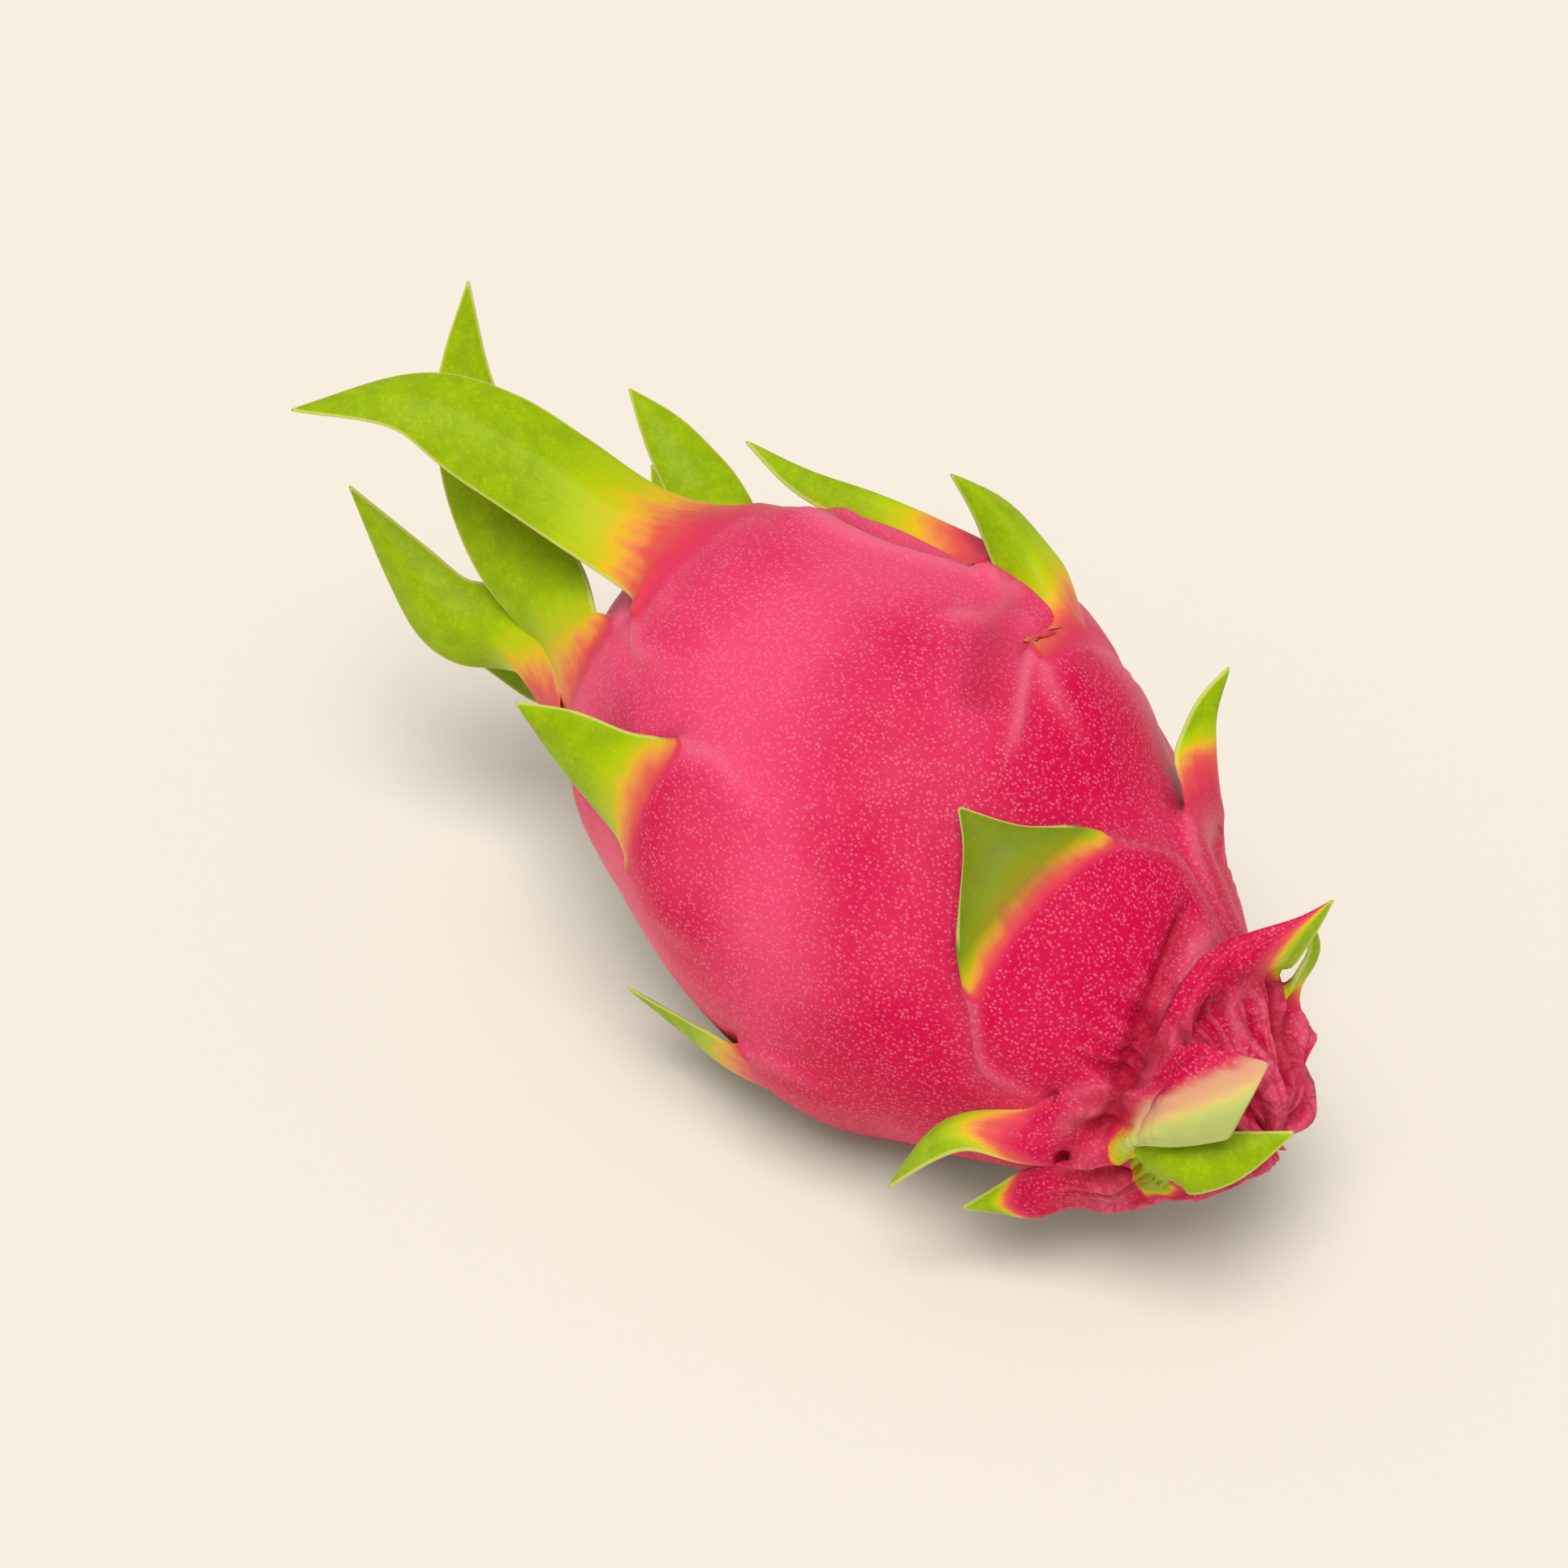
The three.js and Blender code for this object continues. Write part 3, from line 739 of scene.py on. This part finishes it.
    def build(self) -> bpy.types.Object:
        """Make the peel.

        Returns:
            The finished object, in the frame's metres.
        """
        peel = self._refine(self._coarse_mesh())
        self._detail(peel)
        peel.data.polygons.foreach_set("use_smooth", [True] * len(peel.data.polygons))
        return peel


# ---- finishes ----

Links = dict[int | str, Any]
Tree = bpy.types.NodeTree
Socket = bpy.types.NodeSocket
Layer = tuple[Socket, str, float]    # where a colour shows, the colour, and how strongly


def add_node(tree: Tree, kind: str, settings: dict[str, Any], inputs: Links) -> bpy.types.Node:
    """Add a node with its settings and links.

    Args:
        tree: The node tree.
        kind: The node's type.
        settings: Its own settings by name.
        inputs: What goes into its sockets by name or number: a socket to link from, or a plain value.

    Returns:
        The node.
    """
    node = tree.nodes.new(kind)
    for name, value in settings.items():
        setattr(node, name, value)
    for name, value in inputs.items():
        if isinstance(value, Socket):
            tree.links.new(value, node.inputs[name])
        else:
            node.inputs[name].default_value = value
    return node


# the commonest nodes, with their settings
EASE = "ShaderNodeMapRange", {"interpolation_type": "SMOOTHSTEP"}
MIX = "ShaderNodeMix", {"data_type": "RGBA"}
MULTIPLY, SUBTRACT, MULTIPLY_ADD, ABSOLUTE, GREATER_THAN = (
    ("ShaderNodeMath", {"operation": operation})
    for operation in ("MULTIPLY", "SUBTRACT", "MULTIPLY_ADD", "ABSOLUTE", "GREATER_THAN"))


@dataclass(frozen=True)
class PeelFinish:
    """Waxy skin of a ripe dragon fruit.

    The wax gives the eye a satin skin with broad, weak highlights. Pale dots and soft patches break up the
    pink of the body, and the fleshy blades turn through orange and yellow to a mottled green.
    """

    name: str = "waxy_peel"
    light_pink: str = "#f44c78"
    magenta: str = "#d60048"
    speckle: str = "#f58ca4"
    # painted shade: the dark red put into grooves, thin wrinkles and the corners above the scales' roots
    painted_shade_red: str = "#a80a2c"
    # painted highlight: the pale pink laid on raised folds and ridges
    painted_highlight_pink: str = "#f7809a"
    mottle_green: str = "#c8d800"
    leaf_green: str = "#7c9c00"
    dull_olive: str = "#6c7416"
    pale_cream: str = "#dedca0"
    margin_cream: str = "#e4e07e"
    bounce_grey: str = "#b0aca4"
    blade_ramp: tuple[tuple[float, str], ...] = (
        (0.00, "#e23058"), (0.20, "#ec5f50"), (0.36, "#f29a48"), (0.50, "#ecc020"), (0.66, "#c6cc08"),
        (0.84, "#b2cc00"), (1.00, "#9cbc00"),
    )
    # sizes of the patterns, in millimetres
    patch_size: float = 14.0         # of the soft patches of deeper pink
    speckle_spacing: float = 0.55    # between the pale dots
    crinkle_spacing: float = 6.0     # between the thin wrinkles of the stem end
    fibre_size: float = 3.0          # of the uneven colour along the blades
    mottle_size: float = 0.6         # of the fine mottling on the blades
    pore_size: float = 0.8           # of the skin's fine unevenness
    bump_height: float = 0.15        # of the pores, at full strength
    bounce_reach: float = 4.0        # how far light it throws stays pink
    speckle_stretch: float = 1.3     # how much longer the dots are along the body
    body_lean: float = -9.0          # of the body's long axis, in degrees
    crinkle_depth: float = 4.0       # of the thin wrinkles, in times the pores' height
    roughness: float = 0.46
    ior: float = 1.45                # of the wax

    @staticmethod
    def _lay(tree: Tree, under: Socket, layers: Sequence[Layer]) -> Socket:
        """Lay colours over one another.

        Args:
            tree: The node tree.
            under: The colour at the bottom.
            layers: What is laid over it, from the bottom up.

        Returns:
            The finished colour.
        """
        for mask, colour, strength in layers:
            share = add_node(tree, *MULTIPLY, {0: mask, 1: strength}).outputs[0]
            under = add_node(tree, *MIX, {0: share, 6: under, 7: linear_colour(colour)}).outputs[2]
        return under

    def _dots(self, tree: Tree, place: Socket) -> Socket:
        """Draw the pale dots in the skin, a little longer along the body than across."""
        spacing = 1 / (self.speckle_spacing * MM)
        stretched = add_node(tree, "ShaderNodeMapping", {}, {
            "Vector": place, "Rotation": (0, math.radians(self.body_lean), 0),
            "Scale": (spacing / self.speckle_stretch, spacing, spacing),
        })
        cells = add_node(tree, "ShaderNodeTexVoronoi", {}, {"Vector": stretched.outputs[0], "Scale": 1.0})
        dots = add_node(tree, *EASE, {"Value": cells.outputs["Distance"], "From Min": 0.5, "From Max": 0.12})
        shade = add_node(tree, "ShaderNodeSeparateColor", {}, {"Color": cells.outputs["Color"]})
        strength = add_node(tree, *EASE, {"Value": shade.outputs[0], "From Min": -0.3, "From Max": 0.6})
        return add_node(tree, *MULTIPLY, {0: dots.outputs[0], 1: strength.outputs[0]}).outputs[0]

    def _crinkles(self, tree: Tree, place: Socket,
                  crowded: Socket) -> Socket:
        """Draw the thin wrinkles, only where the peel is crowded."""
        winding = add_node(tree, "ShaderNodeTexNoise", {}, {
            "Vector": place, "Scale": 1 / (self.crinkle_spacing * MM), "Detail": 2.0, "Distortion": 0.8,
        })
        middle = add_node(tree, *SUBTRACT, {0: winding.outputs[0], 1: 0.5})
        off_line = add_node(tree, *ABSOLUTE, {0: middle.outputs[0]})
        lines = add_node(tree, *EASE, {"Value": off_line.outputs[0], "From Min": 0.08, "From Max": 0.0})
        return add_node(tree, *MULTIPLY, {0: lines.outputs[0], 1: crowded}).outputs[0]

    def make(self) -> bpy.types.Material:
        """Build the node tree.

        Returns:
            The material.
        """
        material = bpy.data.materials.new(self.name)
        material.use_nodes = True
        tree = material.node_tree
        tree.nodes.clear()
        marks = {
            mark: add_node(tree, "ShaderNodeAttribute", {"attribute_name": mark.value}, {}).outputs["Fac"]
            for mark in (Mark.GREEN, Mark.MARGIN, Mark.AXIL, Mark.RIDGE, Mark.GROOVE, Mark.CRINKLE, Mark.DEEP,
                         Mark.TONE, Mark.STREAK)
        }
        place = add_node(tree, "ShaderNodeTexCoord", {}, {}).outputs["Object"]
        patches, fibres, mottle, pores = (
            add_node(tree, "ShaderNodeTexNoise", {}, {
                "Vector": place, "Scale": 1 / (size * MM), "Detail": detail,
            }).outputs[0]
            for size, detail in ((self.patch_size, 3.0), (self.fibre_size, 4.0), (self.mottle_size, 2.0),
                                 (self.pore_size, 3.0)))
        dots = self._dots(tree, place)
        crinkles = self._crinkles(tree, place, marks[Mark.CRINKLE])

        # the body: light pink turning to magenta in soft patches, dotted, with a painted highlight on its
        # folds and painted shade in them and in the thin wrinkles
        depth = add_node(tree, *MULTIPLY_ADD, {0: patches, 1: 0.6, 2: marks[Mark.DEEP]})
        deepening = add_node(tree, *EASE, {"Value": depth.outputs[0], "From Min": 0.3, "From Max": 1.3})
        pink = add_node(tree, *MIX, {
            0: deepening.outputs[0], 6: linear_colour(self.light_pink), 7: linear_colour(self.magenta),
        })
        body = self._lay(tree, pink.outputs[2], (
            (dots, self.speckle, 0.48),
            (marks[Mark.RIDGE], self.painted_highlight_pink, 0.5),
            (marks[Mark.GROOVE], self.painted_shade_red, 0.75),
            (crinkles, self.painted_shade_red, 0.5),
        ))

        # how far each place has turned from pink to green, uneven along the blades' fibres
        turning = marks[Mark.GREEN]
        for source, factor in ((fibres, 0.28), (marks[Mark.STREAK], 0.1)):
            turning = add_node(tree, *MULTIPLY_ADD, {0: source, 1: factor, 2: turning}).outputs[0]
        turning = add_node(tree, *SUBTRACT, {0: turning, 1: 0.14}).outputs[0]
        ramp_place, mottled, leafy, on_blade, past_pink = (
            add_node(tree, *EASE, {"Value": turning, "From Min": low, "From Max": high}).outputs[0]
            for low, high in ((-0.45, 1.1), (0.3, 0.9), (0.5, 1.0), (-0.75, -0.2), (-0.2, 0.4)))

        # the blades: pink, orange, yellow, then a mottled green
        ramp = add_node(tree, "ShaderNodeValToRGB", {}, {"Fac": ramp_place})
        stops = ramp.color_ramp.elements
        while len(stops) < len(self.blade_ramp):
            stops.new(0.5)
        for stop, (position, colour) in zip(stops, self.blade_ramp):
            stop.position = position
            stop.color = linear_colour(colour)
        mottling, shading, margin, olive, cream = (
            add_node(tree, *MULTIPLY, {
                0: add_node(tree, *EASE, {"Value": source, "From Min": low, "From Max": high}).outputs[0],
                1: where,
            }).outputs[0]
            for source, low, high, where in (
                (mottle, 0.45, 0.75, mottled), (fibres, 0.62, 0.35, leafy),
                (marks[Mark.MARGIN], 0.7, 1.0, past_pink), (marks[Mark.TONE], 0.0, -1.0, 1.0),
                (marks[Mark.TONE], 0.0, 1.0, 1.0)))
        blade = self._lay(tree, ramp.outputs[0], (
            (mottling, self.mottle_green, 0.4),
            (shading, self.leaf_green, 0.35),
            (olive, self.dull_olive, 1.0),
            (cream, self.pale_cream, 1.0),
        ))
        colour = add_node(tree, *MIX, {0: on_blade, 6: body, 7: blade}).outputs[2]

        # the light it throws as far as the floor is neutral, so that the floor's shadow stays grey
        path = add_node(tree, "ShaderNodeLightPath", {}, {}).outputs
        distant = add_node(tree, *GREATER_THAN, {0: path["Ray Length"], 1: self.bounce_reach * MM})
        thrown = add_node(tree, *MULTIPLY, {0: path["Is Diffuse Ray"], 1: distant.outputs[0]})
        colour = self._lay(tree, colour, (
            (margin, self.margin_cream, 0.65),
            # painted shade in the corner above each scale's root and on a blade's inner side near it
            (marks[Mark.AXIL], self.painted_shade_red, 0.5),
            (thrown.outputs[0], self.bounce_grey, 1.0),
        ))

        # fine unevenness of the skin: pores, slightly raised dots, and sunk wrinkles at the stem end
        height = pores
        for source, factor in ((dots, 0.5), (crinkles, -self.crinkle_depth)):
            height = add_node(tree, *MULTIPLY_ADD, {0: source, 1: factor, 2: height}).outputs[0]
        bump = add_node(tree, "ShaderNodeBump", {}, {
            "Height": height, "Strength": 0.25, "Distance": self.bump_height * MM,
        })
        rough = add_node(tree, *MULTIPLY_ADD, {0: pores, 1: 0.12, 2: self.roughness - 0.06})
        shader = add_node(tree, "ShaderNodeBsdfPrincipled", {}, {
            "Base Color": colour, "Roughness": rough.outputs[0], "Normal": bump.outputs[0], "IOR": self.ior,
            "Subsurface Weight": 0.08, "Subsurface Radius": (1.0, 0.35, 0.25), "Subsurface Scale": 1.5 * MM,
            "Specular IOR Level": 0.15, "Sheen Weight": 0.03, "Sheen Roughness": 0.35,
        })
        add_node(tree, "ShaderNodeOutputMaterial", {}, {"Surface": shader.outputs[0]})
        return material


@dataclass(frozen=True)
class FloorFinish:
    """Plain matt studio paper in warm cream."""

    name: str = "studio_paper"
    cream: str = "#f8f0e4"

    def make(self) -> bpy.types.Material:
        """Build the node tree.

        Returns:
            The material.
        """
        material = bpy.data.materials.new(self.name)
        material.use_nodes = True
        shader = material.node_tree.nodes["Principled BSDF"]
        shader.inputs["Base Color"].default_value = linear_colour(self.cream)
        shader.inputs["Roughness"].default_value = 0.9
        shader.inputs["Specular IOR Level"].default_value = 0.1
        return material


# ---- the studio ----

@dataclass
class Studio:
    """A pale floor, soft light and the camera."""

    floor_size: float = 8.0
    azimuth: float = 45.7        # of the camera round the fruit, from straight in front
    elevation: float = 38.0
    distance: float = 662.6      # millimetres from the body's centre
    lens: float = 100.0
    aim_left: float = 22.6       # millimetres that the view's middle lies left of the body's centre
    aim_up: float = 9.5
    sun_azimuth: float = 38.0    # of the broad light, measured as the camera's
    sun_elevation: float = 66.0
    sun_spread: float = 36.0     # how broad it is, in degrees
    sun_strength: float = 2.05
    room_strength: float = 0.42

    def lay_floor(self) -> bpy.types.Object:
        """Lay the floor at the fruit's lowest point.

        Returns:
            The floor.
        """
        bm = bmesh.new()
        bmesh.ops.create_grid(bm, x_segments=1, y_segments=1, size=self.floor_size / 2)
        mesh = bpy.data.meshes.new("floor")
        bm.to_mesh(mesh)
        bm.free()
        floor = bpy.data.objects.new("floor", mesh)
        bpy.context.scene.collection.objects.link(floor)
        mesh.materials.append(FloorFinish().make())
        return floor

    def light(self) -> None:
        """Hang one broad soft light over the fruit, with pale light from all round."""
        scene = bpy.context.scene
        world = bpy.data.worlds.new("soft_room")
        world.use_nodes = True
        background = world.node_tree.nodes["Background"]
        background.inputs["Color"].default_value = linear_colour("#fffcf8")
        background.inputs["Strength"].default_value = self.room_strength
        scene.world = world
        sun = bpy.data.lights.new("softbox", "SUN")
        sun.energy = self.sun_strength
        sun.angle = math.radians(self.sun_spread)
        sun.color = (1.0, 0.985, 0.965)
        lamp = bpy.data.objects.new("softbox", sun)
        turn, rise = math.radians(self.sun_azimuth), math.radians(self.sun_elevation)
        towards = Vector((math.sin(turn) * math.cos(rise), -math.cos(turn) * math.cos(rise), math.sin(rise)))
        lamp.rotation_euler = towards.to_track_quat("Z", "Y").to_euler()
        scene.collection.objects.link(lamp)
        scene.view_settings.view_transform = "Standard"

    def point_camera(self, centre: Vector) -> None:
        """Look down at the fruit from its front right.

        Args:
            centre: The body's centre, in metres.
        """
        turn, rise = math.radians(self.azimuth), math.radians(self.elevation)
        back = Vector((math.sin(turn) * math.cos(rise), -math.cos(turn) * math.cos(rise), math.sin(rise)))
        right = Vector((math.cos(turn), math.sin(turn), 0))
        up = back.cross(right)
        eye = centre + (back * self.distance - right * self.aim_left + up * self.aim_up) * MM
        data = bpy.data.cameras.new("camera")
        data.lens = self.lens
        data.sensor_width = 36.0
        data.clip_start = 0.01
        camera = bpy.data.objects.new("camera", data)
        camera.matrix_world = Matrix.Translation(eye) @ Matrix((right, up, back)).transposed().to_4x4()
        bpy.context.scene.collection.objects.link(camera)
        bpy.context.scene.camera = camera


def main() -> None:
    """Build the fruit and its studio, and report each piece."""
    logging.basicConfig(level=logging.INFO, format="%(name)s: %(message)s")
    studio = Studio()
    studio.lay_floor()
    studio.light()

    peel_form = Peel()
    studio.point_camera(peel_form.lie.centre())
    peel = peel_form.build()
    peel.data.materials.append(PeelFinish().make())
    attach(peel, "root")
    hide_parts(NODE)
    log.info("peel: %d faces, %d scales", len(peel.data.polygons), len(peel_form.scales))


if __name__ == "__main__":
    main()
